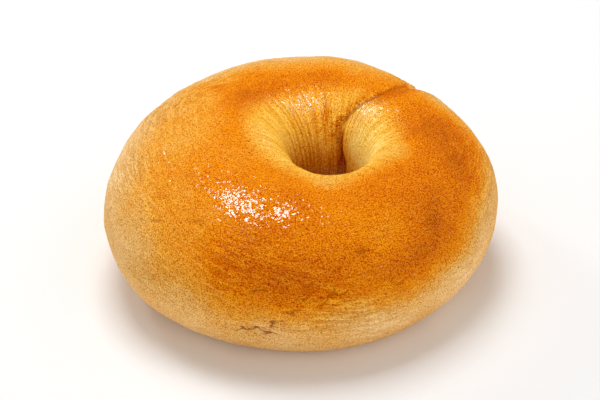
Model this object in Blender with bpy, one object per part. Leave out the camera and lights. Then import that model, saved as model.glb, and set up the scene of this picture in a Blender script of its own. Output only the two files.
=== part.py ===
"""A plain bagel: one rope of dough, rolled into a ring whose two ends are pressed together.

Frame: metres, +Z up. The bagel lies on its flat base, with the origin under the middle of its box. +X is its
right as it is looked at and +Y its back. Azimuths are in degrees, anticlockwise from +X seen from above.

A point of the skin has an azimuth, a share of the way from the hole's wall (0) to the outline (1), and a
level, which is its height as a share of the crest's height there.
"""

from math import cos, pi, radians, sin

import bmesh
import bpy
from mathutils import Vector

# The ring, about the middle of its outline
OUTLINE_RADIUS = 0.0554
HEIGHT = 0.0430
HOLE_MIDDLE = Vector((0.0085, -0.0023, 0.0))
THROAT_RADIUS = 0.0099  # the hole at its narrowest

# Hand-rolled unevenness: (swells round the ring, amount in metres, azimuth of a swell's top)
OUTLINE_WAVES = ((2, 0.0018, 100.0), (3, 0.0027, -16.0), (4, 0.0011, 9.0), (5, 0.0003, 5.0))
HEIGHT_WAVES = ((1, 0.0003, 205.0), (2, 0.0018, 18.0), (3, 0.0009, 56.0), (4, 0.0003, -25.0))
THROAT_WAVES = ((2, 0.0013, -55.0),)

# The rope's section, whose four rounded quarters meet a flat base
CREST_SHARE = 0.44
WIDEST_LEVEL = 0.45
THROAT_LEVEL = 0.50
BASE_INNER_SHARE = 0.27
BASE_OUTER_SHARE = 0.71
FUNNEL_FULLNESS = 2.5  # 2 is an ellipse's quarter, more is squarer
SHOULDER_FULLNESS = 1.92
FOOT_FULLNESS = 1.85
UNDER_FULLNESS = 2.0

# The seam, where the rope's rounded end lies against its start: a slope on the end's side, then a step
SEAM_AZIMUTH = 38.0  # at the outline
SEAM_LEAN = 12.0  # degrees that it falls back from the outline to the hole
SEAM_CURL = 46.0  # degrees that it turns the other way in the hole
SEAM_CURL_SHARE = 0.14
SEAM_DEPTH = 0.0021
SEAM_SLOPE_WIDTH = 0.0100  # on the crest
SEAM_THROAT_SLOPE_WIDTH = 0.0030
SEAM_STEP_WIDTH = 0.0016
SEAM_ROUNDING = 1.5  # 1 is a flat slope with an edge along its top, more is rounder
SEAM_SWELL = 0.0005  # how far the fat end stands proud beside the seam
SEAM_FULL_LEVEL = 0.6  # below this the seam closes towards the base

# Facets
STATIONS = 144  # sections round the ring
STATION_PULL = 0.4  # how much closer together they are at the seam
FUNNEL_STEPS = 8
SHOULDER_STEPS = 9
FOOT_STEPS = 7
BASE_STEPS = 4
UNDER_STEPS = 6

# The crust's middle tone
CRUST_COLOR = (0.73, 0.22, 0.012, 1.0)
CRUST_ROUGHNESS = 0.4


def waves(swells, azimuth):
    return sum(amount * cos(radians(count * (azimuth - top))) for count, amount, top in swells)


def towards(azimuth, distance):
    return Vector((cos(radians(azimuth)), sin(radians(azimuth)), 0.0)) * distance


def quarter(steps, fullness):
    """(across, up) along a rounded quarter, which leaves (0, 0) upright and reaches (1, 1) level."""
    turns = [pi / 2 * step / steps for step in range(steps + 1)]
    return [(1 - cos(turn) ** (2 / fullness), sin(turn) ** (2 / fullness)) for turn in turns]


def section():
    """(share, level) round the rope: up the funnel, over the crest, down the outside and back underneath."""
    funnel = [
        (CREST_SHARE * across, THROAT_LEVEL + (1 - THROAT_LEVEL) * up)
        for across, up in quarter(FUNNEL_STEPS, FUNNEL_FULLNESS)
    ]
    shoulder = [
        (1 - (1 - CREST_SHARE) * across, WIDEST_LEVEL + (1 - WIDEST_LEVEL) * up)
        for across, up in reversed(quarter(SHOULDER_STEPS, SHOULDER_FULLNESS))
    ]
    foot = [
        (1 - (1 - BASE_OUTER_SHARE) * across, WIDEST_LEVEL * (1 - up))
        for across, up in quarter(FOOT_STEPS, FOOT_FULLNESS)
    ]
    base = [
        (BASE_OUTER_SHARE + (BASE_INNER_SHARE - BASE_OUTER_SHARE) * step / BASE_STEPS, 0.0)
        for step in range(1, BASE_STEPS)
    ]
    under = [
        (BASE_INNER_SHARE * across, THROAT_LEVEL * (1 - up))
        for across, up in reversed(quarter(UNDER_STEPS, UNDER_FULLNESS))
    ]
    return funnel[:-1] + shoulder + foot[1:] + base + under[:-1]


def seam_azimuth(share):
    curl = SEAM_CURL / (1 + (share / SEAM_CURL_SHARE) ** 2)
    return SEAM_AZIMUTH - SEAM_LEAN * (1 - share) + curl


def place(away, share, level):
    """A point of the smooth skin, so many degrees past the seam, on sections sheared to follow it."""
    shear = (1 + cos(radians(away))) / 2
    azimuth = SEAM_AZIMUTH + away + (seam_azimuth(share) - SEAM_AZIMUTH) * shear
    wall = HOLE_MIDDLE + towards(azimuth, THROAT_RADIUS + waves(THROAT_WAVES, azimuth))
    edge = towards(azimuth, OUTLINE_RADIUS + waves(OUTLINE_WAVES, azimuth))
    point = wall.lerp(edge, share)
    point.z = level * (HEIGHT + waves(HEIGHT_WAVES, azimuth))
    return point


def seam_rise(across, share, level):
    """How far the skin stands out, so many metres past the seam: inwards at it, outwards beside it."""
    strength = min(1.0, level / SEAM_FULL_LEVEL)
    if across > 0:
        return -SEAM_DEPTH * strength * max(0.0, 1 - across / SEAM_STEP_WIDTH) ** 2
    widening = min(1.0, share / CREST_SHARE)
    width = SEAM_THROAT_SLOPE_WIDTH + (SEAM_SLOPE_WIDTH - SEAM_THROAT_SLOPE_WIDTH) * widening
    rounding = 1 + (SEAM_ROUNDING - 1) * widening
    dip = max(0.0, 1 + across / width) ** rounding
    beside = 1 + across / SEAM_SLOPE_WIDTH
    swell = max(0.0, 1 - beside * beside) ** 2
    return strength * (SEAM_SWELL * swell - SEAM_DEPTH * dip)


def station_aways():
    """The sections' places in degrees past the seam, from -180 to 180."""
    turns = [2 * pi * station / STATIONS for station in range(STATIONS)]
    aways = [(turn - STATION_PULL * sin(turn)) * 180 / pi for turn in turns]
    return [away - 360 if away > 180 else away for away in aways]


def skin(mesh):
    """The closed skin, a ring of sections joined to their neighbours."""
    profile = section()
    aways = station_aways()
    rings = [[mesh.verts.new(place(away, *point)) for point in profile] for away in aways]
    for ring, after in zip(rings, rings[1:] + rings[:1]):
        for step in range(len(profile)):
            mesh.faces.new((ring[step - 1], ring[step], after[step], after[step - 1]))
    mesh.normal_update()
    for away, ring in zip(aways, rings):
        for vert, (share, level) in zip(ring, profile):
            across = radians(away) * (vert.co - HOLE_MIDDLE).to_2d().length
            vert.co += vert.normal * seam_rise(across, share, level)


def centre(mesh):
    """Moves the mesh so that the middle of its box is over the origin."""
    middle = Vector()
    for axis in (0, 1):
        places = [vert.co[axis] for vert in mesh.verts]
        middle[axis] = (min(places) + max(places)) / 2
    for vert in mesh.verts:
        vert.co -= middle


def crust():
    material = bpy.data.materials.new("crust")
    material.use_nodes = True
    shader = material.node_tree.nodes["Principled BSDF"]
    shader.inputs["Base Color"].default_value = CRUST_COLOR
    shader.inputs["Roughness"].default_value = CRUST_ROUGHNESS
    return material


def make_bagel():
    mesh = bmesh.new()
    skin(mesh)
    centre(mesh)
    data = bpy.data.meshes.new("bagel")
    mesh.to_mesh(data)
    mesh.free()
    data.shade_smooth()
    data.materials.append(crust())
    bpy.context.collection.objects.link(bpy.data.objects.new("bagel", data))


for old in list(bpy.data.objects):
    bpy.data.objects.remove(old)
make_bagel()
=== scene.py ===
"""A plain bagel on a pale table: the finish of its crust over the frame's one solid.

Everything is in metres, +Z up, with the bagel's flat base on the table at z = 0.
"""

from math import cos, pi, radians, sin

import bpy
import numpy as np
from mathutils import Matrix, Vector, noise


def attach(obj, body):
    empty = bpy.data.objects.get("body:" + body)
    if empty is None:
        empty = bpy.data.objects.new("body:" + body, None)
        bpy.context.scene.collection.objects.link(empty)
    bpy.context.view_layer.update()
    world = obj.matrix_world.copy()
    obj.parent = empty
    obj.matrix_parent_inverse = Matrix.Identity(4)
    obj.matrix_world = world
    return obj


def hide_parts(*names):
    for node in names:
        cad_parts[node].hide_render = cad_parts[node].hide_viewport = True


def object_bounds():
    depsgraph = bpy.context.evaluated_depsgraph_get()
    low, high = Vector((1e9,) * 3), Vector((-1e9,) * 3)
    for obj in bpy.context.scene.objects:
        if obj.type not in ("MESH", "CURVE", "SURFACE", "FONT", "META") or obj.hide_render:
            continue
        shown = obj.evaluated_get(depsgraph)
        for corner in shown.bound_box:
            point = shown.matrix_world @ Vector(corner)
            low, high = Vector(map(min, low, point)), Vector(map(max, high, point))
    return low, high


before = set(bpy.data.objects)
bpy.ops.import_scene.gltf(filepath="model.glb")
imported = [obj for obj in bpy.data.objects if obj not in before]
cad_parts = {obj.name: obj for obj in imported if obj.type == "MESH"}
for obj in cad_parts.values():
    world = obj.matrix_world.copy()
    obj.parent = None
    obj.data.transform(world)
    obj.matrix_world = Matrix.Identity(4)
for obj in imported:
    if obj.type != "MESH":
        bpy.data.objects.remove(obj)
cad_low, cad_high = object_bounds()
bpy.ops.object.select_all(action="DESELECT")

# ---------------------------------------------------------------------------------------------------------
# The table: a wide sheet of matt white board that the bagel is photographed on.
# One plane, big enough that its edges stay out of sight.

TABLE_SIZE = 4.0
TABLE_WHITE = (0.93, 0.93, 0.93, 1.0)

bpy.ops.mesh.primitive_plane_add(size=TABLE_SIZE, location=(0.0, 0.0, 0.0))
table = bpy.context.object
table.name = "table"
board = bpy.data.materials.new("white board")
board.use_nodes = True
board_shader = board.node_tree.nodes["Principled BSDF"]
board_shader.inputs["Base Color"].default_value = TABLE_WHITE
board_shader.inputs["Roughness"].default_value = 0.9
board_shader.inputs["Specular IOR Level"].default_value = 0.1
table.data.materials.append(board)

# ---------------------------------------------------------------------------------------------------------
# The studio: a small bright softbox nearly overhead, a little behind and to the left, in a white room that
# is bright at the height of the table and dim above, so the crust keeps its colour and its rims go pale.

SOFTBOXES = (  # name, size, watts, and the way to it from the bagel
    ("softbox", 0.30, 2.45, (-0.11, 0.22, 0.97)),
    ("side softbox", 0.12, 0.40, (-0.62, 0.47, 0.63)),
)
SOFTBOX_DISTANCE = 0.60
ROOM_BRIGHT = 0.80
ROOM_BRIGHT_TO = 0.05
ROOM_DIM = 0.18
ROOM_DIM_FROM = 0.48
ROOM_DIM_WAY = (-0.10, 0.55, 0.83)  # the way to the room's dimmest side
ROOM_SIDES = 0.66  # how much brighter the walls on the left and right are
ROOM_RIGHT = 0.45  # and how much of that moves from the left wall to the right one


def add(tree, kind, sockets=None, **settings):
    """A new shader node; each of its sockets is given a value, or the output that feeds it."""
    node = tree.nodes.new("ShaderNode" + kind)
    for name, value in settings.items():
        setattr(node, name, value)
    for socket, value in (sockets or {}).items():
        if isinstance(value, bpy.types.NodeSocket):
            tree.links.new(value, node.inputs[socket])
        else:
            node.inputs[socket].default_value = value
    return node


def ramp(tree, feed, stops):
    """A colour ramp's output, for (position, (red, green, blue)) stops."""
    node = add(tree, "ValToRGB", {"Fac": feed})
    elements = node.color_ramp.elements
    while len(elements) < len(stops):
        elements.new(0.5)
    for element, (position, color) in zip(elements, stops):
        element.position = position
        element.color = (*color, 1.0)
    return node.outputs["Color"]


bagel_middle = (cad_low + cad_high) / 2
for name, size, watts, way in SOFTBOXES:
    softbox = bpy.data.lights.new(name, "AREA")
    softbox.size = size
    softbox.energy = watts
    softbox_object = bpy.data.objects.new(name, softbox)
    bpy.context.scene.collection.objects.link(softbox_object)
    softbox_object.location = bagel_middle + Vector(way).normalized() * SOFTBOX_DISTANCE
    softbox_object.rotation_mode = "QUATERNION"
    softbox_object.rotation_quaternion = Vector(way).to_track_quat("Z", "Y")

room = bpy.data.worlds.new("room")
bpy.context.scene.world = room
room.use_nodes = True
room_way = add(room.node_tree, "TexCoord")
room_turn = {0: room_way.outputs["Generated"], 1: ROOM_DIM_WAY}
room_side = add(room.node_tree, "VectorMath", room_turn, operation="DOT_PRODUCT").outputs["Value"]
room_span = {"Value": room_side, 1: ROOM_BRIGHT_TO, 2: ROOM_DIM_FROM, 3: ROOM_BRIGHT, 4: ROOM_DIM}
room_light = add(room.node_tree, "MapRange", room_span).outputs[0]
room_across = add(room.node_tree, "SeparateXYZ", {0: room_way.outputs["Generated"]}).outputs[0]
room_walls = add(room.node_tree, "Math", {0: room_across, 1: room_across}, operation="MULTIPLY").outputs[0]
room_lean = {0: room_across, 1: ROOM_RIGHT, 2: 1.0}
room_lean = add(room.node_tree, "Math", room_lean, operation="MULTIPLY_ADD").outputs[0]
room_walls = add(room.node_tree, "Math", {0: room_walls, 1: room_lean}, operation="MULTIPLY").outputs[0]
room_sum = {0: room_walls, 1: ROOM_SIDES, 2: room_light}
room_sum = add(room.node_tree, "Math", room_sum, operation="MULTIPLY_ADD").outputs[0]
background = room.node_tree.nodes["Background"]
background.inputs["Color"].default_value = (1.0, 1.0, 1.0, 1.0)
room.node_tree.links.new(room_sum, background.inputs["Strength"])
bpy.context.scene.view_settings.view_transform = "Standard"

# ---------------------------------------------------------------------------------------------------------
# The camera: a long lens that looks down on the bagel from in front.

CAMERA_LENS = 85.0
CAMERA_ELEVATION = 35.0
CAMERA_DISTANCE = 0.3975
CAMERA_AIM = Vector((-0.0008, -0.0070, 0.0200))

lens = bpy.data.cameras.new("camera")
lens.lens = CAMERA_LENS
lens.sensor_width = 36.0
lens.clip_start = 0.01
camera = bpy.data.objects.new("camera", lens)
bpy.context.scene.collection.objects.link(camera)
to_camera = Vector((0.0, -cos(radians(CAMERA_ELEVATION)), sin(radians(CAMERA_ELEVATION))))
camera.location = CAMERA_AIM + to_camera * CAMERA_DISTANCE
camera.rotation_mode = "QUATERNION"
camera.rotation_quaternion = to_camera.to_track_quat("Z", "Y")
bpy.context.scene.camera = camera

# ---------------------------------------------------------------------------------------------------------
# The bagel: a rope of dough rolled into a ring, its ends pressed together, boiled and baked to a glossy
# golden crust. Its skin is a fine grid, rolled up round the ring and the rope, and carries the relief.

# The ring, about the middle of its outline
OUTLINE_RADIUS = 0.0554
HEIGHT = 0.0430
HOLE_MIDDLE = (0.0085, -0.0023)
THROAT_RADIUS = 0.0099
OUTLINE_WAVES = ((2, 0.0018, 100.0), (3, 0.0027, -16.0), (4, 0.0011, 9.0), (5, 0.0003, 5.0))
HEIGHT_WAVES = ((1, 0.0003, 205.0), (2, 0.0018, 18.0), (3, 0.0009, 56.0), (4, 0.0003, -25.0))
THROAT_WAVES = ((2, 0.0013, -55.0),)

# The rope's section
CREST_SHARE = 0.44
WIDEST_LEVEL = 0.45
THROAT_LEVEL = 0.50
BASE_INNER_SHARE = 0.27
BASE_OUTER_SHARE = 0.71
FUNNEL_FULLNESS = 2.5
SHOULDER_FULLNESS = 1.92
FOOT_FULLNESS = 1.85
UNDER_FULLNESS = 2.0

# The seam
SEAM_AZIMUTH = 38.0
SEAM_LEAN = 8.5
SEAM_CURL = 46.0
SEAM_CURL_SHARE = 0.14
SEAM_DEPTH = 0.0007
SEAM_CREST_DEPTH = 0.0010
SEAM_SLOPE_WIDTH = 0.0060
SEAM_THROAT_SLOPE_WIDTH = 0.0030
SEAM_STEP_WIDTH = 0.0007
SEAM_ROUNDING = 1.15
SEAM_SWELL = 0.0005
SLOT_DEPTH = 0.0020
SLOT_WIDTH = 0.0036
LIP_ROUGHNESS = 0.00040
SEAM_FULL_LEVEL = 0.6

# The skin's relief, in (azimuth in degrees, girth in mm) places. Girth is the way round the rope's section,
# from the throat up over the crest and down the outside.
LUMP_SIZE, LUMP_HEIGHT = 0.017, 0.00020
RIPPLE_SIZE, RIPPLE_HEIGHT = 0.0055, 0.00010
WRINKLE_LONG, WRINKLE_WIDE, WRINKLE_HEIGHT = 0.011, 0.0026, 0.00020
PLEAT_WIDE, PLEAT_LONG, PLEAT_HEIGHT = 0.0042, 0.030, 0.00012
WARP_SIZE, WARP_REACH = 0.0030, 0.0011
GROOVES = (  # path, width and depth in mm
    (((-108.5, 78.4), (-107, 78.0), (-104, 76.6), (-102, 77.8), (-99, 75.8), (-97.5, 75.6)), 1.1, 0.75),
    (((-99, 78.0), (-98, 77.9), (-96, 76.6), (-94.5, 76.4)), 0.8, 0.50),
    (((-98, 75.2), (-97, 74.4), (-94, 71.5), (-94, 70.0)), 0.8, 0.65),
    (((-94, 69.3), (-93, 69.0), (-90, 68.1), (-87, 67.4)), 0.6, 0.40),
    (((-103, 65.6), (-101, 65.1), (-98, 63.8), (-96, 63.4)), 0.7, 0.35),
    (((-91, 64.8), (-90, 64.2), (-87, 62.8), (-86, 62.6)), 0.6, 0.35),
    (((-85, 65.2), (-84, 64.8), (-80, 61.8), (-77, 60.0), (-75, 59.6)), 0.6, 0.33),
    (((-128, 58.9), (-125, 56.1), (-121, 53.2)), 0.7, 0.25),
    (((-141, 64.0), (-135, 61.7)), 0.7, 0.25),
    (((-137, 50.5), (-133, 48.0)), 0.7, 0.20),
    (((-74, 52.0), (-69, 51.0)), 0.8, 0.25),
    (((-64, 60.8), (-59, 60.0)), 0.8, 0.30),
    (((-66, 63.2), (-64, 62.8)), 0.8, 0.20),
    (((-53, 63.0), (-50, 62.0)), 0.8, 0.25),
    (((147, 46.5), (156, 44.5)), 0.6, 0.20),
    (((160, 50.0), (170, 48.0)), 0.6, 0.20),
    (((133, 41.0), (140, 42.0)), 0.6, 0.18),
    (((-20, 60.0), (-13, 56.0)), 0.6, 0.20),
)
SWELLS = (  # path, width and height in mm
    (((-114, 79.0), (-102, 73.0), (-92, 68.5)), 2.6, 0.45),
    (((-60, 55.5), (-72, 57.5)), 3.0, 0.20),
)
ROUGH = (  # azimuth in degrees, girth and size in mm, and how much rougher
    (-80, 68, 9, 0.8),
    (-100, 75, 7, 0.8),
    (-62, 66, 9, 0.5),
    (-138, 50, 8, 0.4),
    (164, 52, 14, 0.8),
    (-165, 62, 12, 0.5),
    (135, 46, 10, 0.6),
    (40, 50, 14, 0.5),
    (-10, 50, 9, 0.4),
)
ROPE_RING = 0.034  # radius of the cylinder that unrolls the rope

# The skin's mesh
STATIONS = 500
STATION_PULL = 0.15
FUNNEL_STEPS = 46
SHOULDER_STEPS = 74
FOOT_STEPS = 40
BASE_STEPS = 12
UNDER_STEPS = 26


def waves(swells, azimuth):
    return sum(amount * np.cos(np.radians(count * (azimuth - top))) for count, amount, top in swells)


def quarter(steps, fullness):
    """(across, up) along a rounded quarter, which leaves (0, 0) upright and reaches (1, 1) level."""
    turns = np.linspace(0, pi / 2, steps + 1)
    return 1 - np.cos(turns) ** (2 / fullness), np.sin(turns) ** (2 / fullness)


def section():
    """Share and level round the rope: up the funnel, over the crest, down the outside, back underneath."""
    across, up = quarter(FUNNEL_STEPS, FUNNEL_FULLNESS)
    shares, levels = [CREST_SHARE * across[:-1]], [THROAT_LEVEL + (1 - THROAT_LEVEL) * up[:-1]]
    across, up = quarter(SHOULDER_STEPS, SHOULDER_FULLNESS)
    shares.append(1 - (1 - CREST_SHARE) * across[::-1])
    levels.append(WIDEST_LEVEL + (1 - WIDEST_LEVEL) * up[::-1])
    across, up = quarter(FOOT_STEPS, FOOT_FULLNESS)
    shares.append(1 - (1 - BASE_OUTER_SHARE) * across[1:])
    levels.append(WIDEST_LEVEL * (1 - up[1:]))
    shares.append(np.linspace(BASE_OUTER_SHARE, BASE_INNER_SHARE, BASE_STEPS + 1)[1:-1])
    levels.append(np.zeros(BASE_STEPS - 1))
    across, up = quarter(UNDER_STEPS, UNDER_FULLNESS)
    shares.append(BASE_INNER_SHARE * across[::-1][:-1])
    levels.append(THROAT_LEVEL * (1 - up[::-1][:-1]))
    return np.concatenate(shares), np.concatenate(levels)


share, level = section()
turn = np.linspace(0, 2 * pi, STATIONS, endpoint=False)
away = np.degrees(turn - STATION_PULL * np.sin(turn))
away = np.where(away > 180, away - 360, away)[:, None]

# The smooth form, on sections sheared to follow the seam
seam_azimuth = SEAM_AZIMUTH - SEAM_LEAN * (1 - share) + SEAM_CURL / (1 + (share / SEAM_CURL_SHARE) ** 2)
azimuth = SEAM_AZIMUTH + away + (seam_azimuth - SEAM_AZIMUTH) * (1 + np.cos(np.radians(away))) / 2
compass = np.stack([np.cos(np.radians(azimuth)), np.sin(np.radians(azimuth))], -1)
wall = np.array(HOLE_MIDDLE) + compass * (THROAT_RADIUS + waves(THROAT_WAVES, azimuth))[..., None]
edge = compass * (OUTLINE_RADIUS + waves(OUTLINE_WAVES, azimuth))[..., None]
form = np.zeros((STATIONS, len(share), 3))
form[..., :2] = wall + (edge - wall) * share[:, None]
form[..., 2] = level * (HEIGHT + waves(HEIGHT_WAVES, azimuth))



def outward(points):
    """The skin's normals: the points run round the ring and then round the rope."""
    along_ring = np.roll(points, -1, 0) - np.roll(points, 1, 0)
    along_rope = np.roll(points, -1, 1) - np.roll(points, 1, 1)
    normals = np.cross(along_rope, along_ring)
    return normals / np.linalg.norm(normals, axis=-1, keepdims=True)


# The rope's unrolled coordinates
steps = np.linalg.norm(np.roll(form, -1, axis=1) - form, axis=-1)
girth = np.cumsum(steps, axis=1) - steps
underside = np.arange(len(share)) > FUNNEL_STEPS + SHOULDER_STEPS + FOOT_STEPS + BASE_STEPS // 2
outside = (np.arange(len(share)) >= FUNNEL_STEPS) & ~underside
girth = np.where(underside, girth - steps.sum(axis=1, keepdims=True), girth)
rope = np.concatenate([ROPE_RING * compass, girth[..., None]], axis=-1)
radius = np.linalg.norm(form[..., :2] - np.array(HOLE_MIDDLE), axis=-1)
out = outward(form)

def uneven(points, size, seed=0.0):
    """Smooth noise, from about -1 to 1, whose lumps are size across."""
    spots = (points / size + seed).reshape(-1, 3)
    return 2 * np.array([noise.noise(Vector(spot)) for spot in spots]).reshape(points.shape[:-1])


def smooth(low, high, value):
    """0 below low, 1 above high, and a smooth rise between them."""
    rise = np.clip((value - low) / (high - low), 0, 1)
    return rise * rise * (3 - 2 * rise)


def turned(degrees):
    """The azimuths, measured from the one given, from -180 to 180."""
    return (azimuth - degrees + 180) % 360 - 180


# The seam
across = np.radians(away) * radius
strength = np.minimum(1.0, level / SEAM_FULL_LEVEL)
widening = np.minimum(1.0, share / CREST_SHARE)
slope_width = SEAM_THROAT_SLOPE_WIDTH + (SEAM_SLOPE_WIDTH - SEAM_THROAT_SLOPE_WIDTH) * widening
depth = SEAM_DEPTH + (SEAM_CREST_DEPTH - SEAM_DEPTH) * smooth(0.020, 0.030, girth)
step_side = np.maximum(0, 1 - across / SEAM_STEP_WIDTH) ** 2
slope_side = np.maximum(0, 1 + across / slope_width) ** SEAM_ROUNDING
dip = np.where(across > 0, step_side, slope_side)
swell = np.maximum(0, 1 - (1 + across / SEAM_SLOPE_WIDTH) ** 2) ** 2 * (across < 0)
slot_width = SLOT_WIDTH * (1 - 0.5 * smooth(0.002, 0.012, girth))
slot = smooth(0, 0.3, -across / slot_width) * (1 - smooth(0.7, 1.1, -across / slot_width))
slot *= smooth(-0.010, -0.002, girth) * (1 - smooth(0.009, 0.015, girth))
rise = strength * (SEAM_SWELL * swell - depth * dip) - SLOT_DEPTH * slot
torn = smooth(0.0, 0.0005, across) * (1 - smooth(0.0015, 0.0040, across))
torn *= smooth(0.008, 0.014, girth) * (1 - smooth(0.022, 0.034, girth))
rise += LIP_ROUGHNESS * torn * uneven(form, 0.0013, 91.0)
seam_line = smooth(0.006, 0.012, girth) * (1 - smooth(0.040, 0.046, girth))
form = form + out * rise[..., None]
middle = (form.min((0, 1)) + form.max((0, 1))) / 2
middle[2] = 0.0

warp = np.stack([uneven(form, WARP_SIZE, 31.7), uneven(form, WARP_SIZE, 57.3)], -1) * WARP_REACH


def beside(path, warped=1.0):
    """How far each point is past a path, on its left or right, and how far along it, from 0 to 1."""
    middle_azimuth, middle_girth = np.mean(path, axis=0)
    nearest = np.argmin(turned(middle_azimuth) ** 2 + (girth * 1000 - middle_girth) ** 2)
    around = np.radians(turned(middle_azimuth)) * radius.ravel()[nearest]
    here = np.stack([around, girth - middle_girth / 1000], -1) + warp * warped
    knots = [
        np.array((radians(a - middle_azimuth) * radius.ravel()[nearest], (g - middle_girth) / 1000))
        for a, g in path
    ]
    distance, side, along = np.full(girth.shape, np.inf), np.ones(girth.shape), np.zeros(girth.shape)
    for number, (start, end) in enumerate(zip(knots, knots[1:])):
        run = end - start
        part = ((here - start) @ run) / (run @ run)
        gap = here - start - np.clip(part, 0, 1)[..., None] * run
        reach = np.linalg.norm(gap, axis=-1)
        closer = reach < distance
        distance = np.where(closer, reach, distance)
        side = np.where(closer, np.sign(run[0] * gap[..., 1] - run[1] * gap[..., 0]), side)
        along = np.where(closer, (number + part) / (len(knots) - 1), along)
    return distance, side, along


def spot(at_azimuth, at_girth, size):
    """1 in the middle of a round spot, falling off over its size in mm."""
    gap = np.hypot(np.radians(turned(at_azimuth)) * radius, girth - at_girth / 1000)
    return np.exp(-((gap * 1000 / size) ** 2))


# The relief
funnel = smooth(-0.006, 0.004, girth) * (1 - smooth(0.018, 0.031, girth))
shoulder = smooth(0.036, 0.046, girth) * (1 - smooth(0.080, 0.090, girth))
rough = shoulder * np.clip(0.20 + 0.35 * uneven(form, 0.013, 19.0), 0, 1)
for at_azimuth, at_girth, size, rougher in ROUGH:
    rough += rougher * spot(at_azimuth, at_girth, size)
rough = np.minimum(1, rough + torn)
pleated = smooth(0.0, 0.004, girth) * (1 - smooth(0.027, 0.034, girth))
pleated *= 1 - 0.75 * smooth(40, 75, np.abs(turned(95.0)))
above = smooth(0.0, 0.15, level)
relief = LUMP_HEIGHT * uneven(form, LUMP_SIZE, 3.1) + RIPPLE_HEIGHT * uneven(form, RIPPLE_SIZE, 8.4)
wrinkle_place = rope / np.array((WRINKLE_LONG, WRINKLE_LONG, WRINKLE_WIDE))
wrinkles = 1 - 2 * np.abs(uneven(wrinkle_place + warp[..., :1] * 400, 1.0, 12.9))
relief += WRINKLE_HEIGHT * rough * wrinkles
pleat_place = rope / np.array((PLEAT_WIDE, PLEAT_WIDE, PLEAT_LONG))
relief += PLEAT_HEIGHT * pleated * uneven(pleat_place, 1.0, 21.3)
# How dark each groove is painted, darker the deeper it is: painted shade in the cracks
crack_past = np.full(girth.shape, 0.004)
crack_shade = np.zeros(girth.shape)
for path, width, depth in GROOVES:
    distance, side, along = beside(path)
    ends = smooth(0.0, 0.3, along) * (1 - smooth(0.7, 1.0, along))
    relief -= depth / 1000 * np.exp(-((distance * 1000 / width) ** 2)) * ends
    past = distance * side * 0.7 / width
    nearer = np.abs(past) < np.abs(crack_past)
    crack_past = np.where(nearer, past, crack_past)
    crack_shade = np.where(nearer, ends * min(1.0, depth / 0.5), crack_shade)
for path, width, height in SWELLS:
    distance, side, along = beside(path)
    ends = smooth(-0.3, 0.3, along) * (1 - smooth(0.7, 1.3, along))
    relief += height / 1000 * np.exp(-((distance * 1000 / width) ** 2)) * ends
form = form + out * (relief * above)[..., None]

# Its box's middle goes over the origin, as in the CAD
form -= middle

# How brown the crust is, from 0 for pale dough to 1 for dark brown
FRONT_EDGE = 0.068  # girth where the browned cap ends, in front and behind
# The cap ends early behind, which leaves the back rim pale: partly uneven baking, partly a painted sheen of
# the grazing rim
BACK_EDGE = 0.042
EDGE_AZIMUTH = -105.0
FRONT_SOFT = 0.011
BACK_SOFT = 0.010
GLOSSY = (  # azimuth in degrees, girth and size in mm, and how much glossier
    (-120, 45.5, 5.5, 0.65),
    (-110, 47.5, 9.5, 0.38),
    (-99, 43.5, 4, 0.38),
    (-110, 49, 5, 0.12),
    (-134, 44, 6, 0.25),
    (-88, 42.5, 7, 0.20),
    (130, 24, 5, 0.55),
    (109, 22, 6, 0.60),
    (92, 23, 5, 0.50),
    (50, 17.5, 3, 0.85),
    (42, 20.5, 3, 0.95),
    (37, 23.5, 3, 0.85),
    (34, 26.5, 2.5, 0.70),
    (10, 24, 7, 0.20),
    (-160, 50, 14, 0.15),
)
# Paler patches on the left side are partly uneven baking and partly a painted sheen of its grazing rim;
# browner patches low on the front are partly uneven baking and partly painted shade there
PATCHES = (  # azimuth in degrees, girth and size in mm, and how much browner
    (85, 33.5, 5, 0.12),
    (142, 30.7, 7, 0.14),
    (-96, 39.6, 4, 0.08),
    (-96, 63.0, 8, 0.06),
    (-7, 34.3, 10, 0.12),
    (-14, 43.0, 14, 0.13),
    (110, 34.0, 20, 0.17),
    (-44, 56, 10, 0.15),
    (-61, 58.3, 6, 0.06),
    (-72, 51.5, 1.5, 0.15),
    (-62, 48.6, 6, -0.10),
    (-150, 54.0, 20, -0.06),
    (176, 57.0, 16, -0.17),
    (-108, 70, 9, 0.18),
    (-92, 62, 9, 0.14),
    (-132, 56, 10, -0.12),
    (-165, 44, 9, -0.06),
    (-38, 78, 12, -0.12),
    (24, 45, 6, -0.25),
    (8, 46, 5, -0.12),
    (-27, 62, 7, -0.12),
    (176, 46.0, 16, -0.06),
    (-129, 72, 9, 0.15),
    (-116, 73, 12, 0.10),
    (-170, 70, 16, -0.12),
    (90, 60, 30, -0.08),
    (-83, 27.4, 5, -0.25),
    (-29, 28.5, 6, -0.22),
    (-162, 20.7, 6, -0.20),
    (32, 19.4, 4, -0.20),
)

frontness = 0.5 + 0.5 * np.cos(np.radians(turned(EDGE_AZIMUTH)))
edge = BACK_EDGE + (FRONT_EDGE - BACK_EDGE) * frontness
soft = BACK_SOFT + (FRONT_SOFT - BACK_SOFT) * np.minimum(1, 2 * frontness)
browned = 0.55 + 0.08 * np.cos(np.radians(turned(-45.0)))
# browner again on the back, below the pale rim
belly = 0.12 + 0.16 * smooth(0.050, 0.066, girth) * (1 - frontness)
bake = np.where(outside, belly + browned * (1 - smooth(edge - soft, edge + soft, girth)), belly)
bake = np.where(~outside, 0.25 + 0.41 * smooth(0.018, 0.031, girth), bake)


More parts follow.
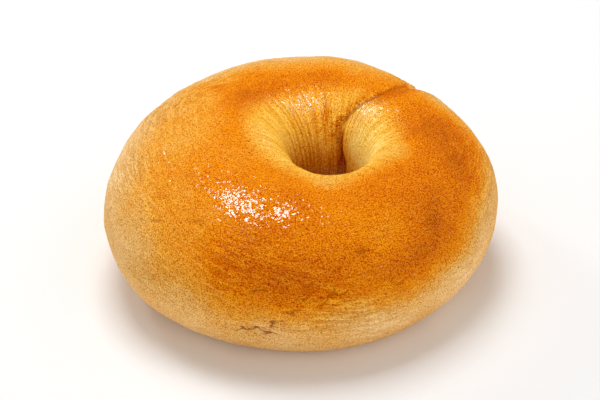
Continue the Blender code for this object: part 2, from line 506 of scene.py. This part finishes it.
for at_azimuth, at_girth, size, browner in PATCHES:
    bake += browner * spot(at_azimuth, at_girth, size)
valley = smooth(-0.85, -0.45, across / slope_width) * (1 - smooth(-0.0002, 0.0004, across))
valley *= smooth(0.020, 0.028, girth) * (1 - smooth(0.036, 0.052, girth))
bake += 0.20 * valley + 0.15 * torn
bake += 0.06 * uneven(form, 0.014, 5.5) + 0.03 * uneven(form, 0.005, 6.6)
gloss = 0.02 + 0.04 * uneven(form, 0.012, 44.0)
for at_azimuth, at_girth, size, glossier in GLOSSY:
    gloss += glossier * spot(at_azimuth, at_girth, size)
gloss = smooth(0.45, 0.85, level) * np.clip(gloss, 0, 1)
# The hole's colour: browner towards the throat's depth and in the seam's slot, painted shade; paler on the
# right wall, painted light; browner on the back wall and the torn lip
hole_shading = 0.2 + 0.8 * (1 - smooth(-0.006, 0.013, girth)) - 0.48 * spot(2, 11, 8) + 0.36 * spot(95, 18, 8)
hole_shading += 0.65 * slot + 0.4 * torn

bpy.ops.mesh.primitive_grid_add(x_subdivisions=len(share), y_subdivisions=STATIONS, size=0.1)
bagel = bpy.context.object
bagel.name = "bagel_crust"
skin = bagel.data
closed = np.pad(form, ((0, 1), (0, 1), (0, 0)), mode="wrap")
skin.vertices.foreach_set("co", closed.ravel())
skin.update()


def keep(name, kind, values):
    """Stores values on the skin's points, before it is rolled up."""
    wrapped = np.pad(values, ((0, 1), (0, 1)) + ((0, 0),) * (values.ndim - 2), mode="wrap")
    layer = skin.attributes.new(name, kind, "POINT")
    layer.data.foreach_set("vector" if kind == "FLOAT_VECTOR" else "value", wrapped.ravel())


seam_past = np.where(seam_line > 0.5, across, 0.004)
keep("rope", "FLOAT_VECTOR", rope)
keep("crack", "FLOAT_VECTOR", np.stack([crack_past, crack_shade, seam_past], -1))
keep("bake", "FLOAT", bake)
keep("gloss", "FLOAT", gloss)
keep("rough", "FLOAT", rough)
keep("funnel", "FLOAT", funnel)
keep("hole_shading", "FLOAT", hole_shading)
keep("pleated", "FLOAT", pleated)

bpy.ops.object.mode_set(mode="EDIT")
bpy.ops.mesh.select_all(action="SELECT")
bpy.ops.mesh.remove_doubles(threshold=0.000001)
bpy.ops.object.mode_set(mode="OBJECT")
skin.shade_smooth()

# The browned, glossy, finely crinkled crust, with painted shade in its crevices, pinholes, cracks and hole,
# and painted light on the hole's right wall
PALE = (0.86, 0.52, 0.20)
TAN = (0.77, 0.378, 0.078)
GOLDEN = (0.80, 0.300, 0.018)
ORANGE = (0.755, 0.192, 0.0008)
TOASTED = (0.635, 0.130, 0.0006)
BROWN = (0.38, 0.070, 0.001)
# the pinholes' dark colour is painted shade inside them
PIT_SHADE = (0.16, 0.035, 0.002, 1.0)
# the hole's colours: pale for the painted light on its right wall, brown for the painted shade in its depth
HOLE_LIT_PALE = (0.99, 0.65, 0.11)
HOLE_YELLOW = (0.93, 0.47, 0.030)
HOLE_ORANGE = (0.80, 0.27, 0.003)
HOLE_SHADE_BROWN = (0.46, 0.075, 0.0005)
# the painted shade in the cracks and along the seam's crease
CRACK_SHADE = (0.27, 0.050, 0.001, 1.0)

crust = bpy.data.materials.new("crust")
crust.use_nodes = True
tree = crust.node_tree
shader = tree.nodes["Principled BSDF"]


def attribute(name):
    return add(tree, "Attribute", attribute_name=name)


def sum_of(*terms):
    """Adds up outputs, each given with what it is multiplied by."""
    total = 0.0
    for output, amount in terms:
        total = add(tree, "Math", {0: output, 1: amount, 2: total}, operation="MULTIPLY_ADD").outputs[0]
    return total


def grain(vector, size, detail=2.0, roughness=0.5, distortion=0.0):
    sockets = {"Vector": vector, "Scale": 1 / size, "Detail": detail, "Roughness": roughness}
    return add(tree, "TexNoise", {**sockets, "Distortion": distortion}).outputs["Fac"]


def spread(output, low, high):
    """0 where the output is below low, 1 above high."""
    return add(tree, "MapRange", {"Value": output, "From Min": low, "From Max": high}).outputs[0]


def product(*outputs):
    total = outputs[0]
    for output in outputs[1:]:
        total = add(tree, "Math", {0: total, 1: output}, operation="MULTIPLY").outputs[0]
    return total


place = add(tree, "TexCoord").outputs["Object"]
rope_place = attribute("rope").outputs["Vector"]
bake_here = attribute("bake").outputs["Fac"]
gloss_here = attribute("gloss").outputs["Fac"]
rough_here = attribute("rough").outputs["Fac"]
funnel_here = attribute("funnel").outputs["Fac"]
pleated_here = attribute("pleated").outputs["Fac"]
crack_here = attribute("crack").outputs["Vector"]

along_ring = add(tree, "Mapping", {"Vector": rope_place, "Scale": (0.22, 0.22, 1.0)}).outputs[0]
stretched = add(tree, "Mapping", {"Vector": rope_place, "Scale": (0.8, 0.8, 1.0)}).outputs[0]
along_rope = add(tree, "Mapping", {"Vector": rope_place, "Scale": (1.0, 1.0, 0.12)}).outputs[0]
crinkle = grain(stretched, 0.00058, 1.0, 0.45, 0.3)
fine = grain(place, 0.00030, 1.0)
# The crinkle's dents and the fine pores: masks for the painted shade in the crust's crevices
dent_shade = spread(crinkle, 0.55, 0.20)
pore_shade = spread(fine, 0.55, 0.15)
mottle = grain(place, 0.0030, 3.0, 0.6)
wrinkle = grain(along_ring, 0.00090, 1.0, 0.5, 0.5)
wrinkle_line = spread(wrinkle, 0.42, 0.58)
pleat = grain(along_rope, 0.0016, 2.0, 0.6)
pleat_line = spread(pleat, 0.36, 0.56)

# Pinholes, painted dark as the shade inside them, over a slight dent in the bump
pits = add(tree, "TexVoronoi", {"Vector": place, "Scale": 1 / 0.0046, "Randomness": 1.0})
pit_kept = add(tree, "SeparateColor", {0: pits.outputs["Color"]}).outputs[0]
pit = product(spread(pits.outputs["Distance"], 0.085, 0.045), spread(pit_kept, 0.72, 0.78))

crack_split = add(tree, "SeparateXYZ", {0: crack_here})
crack_jag = sum_of((crack_split.outputs[0], 1.0), (grain(place, 0.0011, 2.0), 0.0016), (0.5, -0.0016))
crack_away = add(tree, "Math", {0: crack_jag}, operation="ABSOLUTE").outputs[0]
crack = product(spread(crack_away, 0.00042, 0.00012), crack_split.outputs[1])
seam_away = add(tree, "Math", {0: crack_split.outputs[2]}, operation="ABSOLUTE").outputs[0]
seam = spread(seam_away, 0.00038, 0.00008)

browning = sum_of(
    (bake_here, 1.0),
    (mottle, 0.13), (0.5, -0.13),
    (crinkle, 0.16), (0.5, -0.16),
    (fine, 0.22), (0.5, -0.22),
    (product(wrinkle, rough_here), 0.08), (rough_here, -0.04),
)
stops = ((0.0, PALE), (0.25, TAN), (0.45, GOLDEN), (0.65, ORANGE), (0.85, TOASTED), (1.0, BROWN))
crown = ramp(tree, browning, stops)
# The hole's wall colour, with its painted light and shade
hole_shading_here = sum_of((attribute("hole_shading").outputs["Fac"], 1.0), (mottle, 0.15), (0.5, -0.15))
wall = ramp(tree, hole_shading_here, ((0.0, HOLE_LIT_PALE), (0.2, HOLE_YELLOW), (0.6, HOLE_ORANGE), (1.0, HOLE_SHADE_BROWN)))
colour = add(tree, "Mix", {"Factor": funnel_here, 6: crown, 7: wall}, data_type="RGBA").outputs[2]
# Painted shade: the colour is deepened and darkened in the crinkle's dents, the fine pores, the wrinkle
# lines and the funnel's pleats, where shade would fall
crevice_shade = sum_of(
    (dent_shade, 0.18),
    (pore_shade, 1.10),
    (product(wrinkle_line, rough_here), -0.22), (rough_here, 0.11),
    (product(pleat_line, funnel_here), -0.35), (funnel_here, 0.20),
)
shade_deepened = add(tree, "Gamma", {"Color": colour, "Gamma": sum_of((crevice_shade, 1.3), (0.70, 1.0))}).outputs[0]
shade_dimmed = sum_of((crevice_shade, -0.50), (1.11, 1.0))
shaded = add(tree, "VectorMath", {0: shade_deepened, 1: shade_dimmed}, operation="MULTIPLY").outputs[0]
# Painted shade in the cracks and along the seam's crease line, over their grooves in the mesh
groove_shade = sum_of((crack, 0.8), (seam, 0.3))
cracked = add(tree, "Mix", {"Factor": groove_shade, 6: shaded, 7: CRACK_SHADE}, data_type="RGBA").outputs[2]
pitted = add(tree, "Mix", {"Factor": sum_of((pit, 0.8)), 6: cracked, 7: PIT_SHADE}, data_type="RGBA")
tree.links.new(pitted.outputs[2], shader.inputs["Base Color"])

roughness = sum_of((gloss_here, -0.10), (mottle, 0.15), (0.62, 1.0))
tree.links.new(roughness, shader.inputs["Roughness"])
shader.inputs["Specular IOR Level"].default_value = 0.03
glaze = grain(place, 0.00068, 1.0, 0.5, 0.6)
strokes = add(tree, "Mix", {"Factor": pleated_here, 2: glaze, 3: pleat}, data_type="FLOAT").outputs[0]
stroke_edge = add(tree, "Math", {0: sum_of((strokes, 1.0), (0.5, -1.0))}, operation="ABSOLUTE").outputs[0]
stroke = spread(sum_of((gloss_here, 0.05), (stroke_edge, -1.0)), -0.050, -0.035)
kept = spread(sum_of((grain(place, 0.0010, 1.0), 1.0), (gloss_here, 0.42)), 0.715, 0.74)
glazed = product(stroke, kept)
tree.links.new(glazed, shader.inputs["Coat Weight"])
shader.inputs["Coat Roughness"].default_value = 0.07
shader.inputs["Coat IOR"].default_value = 2.0

pleating = product(pleat_line, pleated_here)
height = sum_of(
    (crinkle, 0.28),
    (fine, 0.06),
    (product(wrinkle_line, rough_here), 0.17),
    (pleating, 0.12),
    (pit, -0.20),
    (crack, -0.04),
)
bump = add(tree, "Bump", {"Height": height, "Distance": 0.001, "Strength": 1.0})
tree.links.new(bump.outputs[0], shader.inputs["Normal"])
film = sum_of((grain(place, 0.0012, 1.0), 0.26), (crinkle, 0.05), (pleating, 0.24))
film_bump = add(tree, "Bump", {"Height": film, "Distance": 0.001, "Strength": 1.0})
tree.links.new(film_bump.outputs[0], shader.inputs["Coat Normal"])
skin.materials.append(crust)

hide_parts("bagel")
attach(bagel, "root")
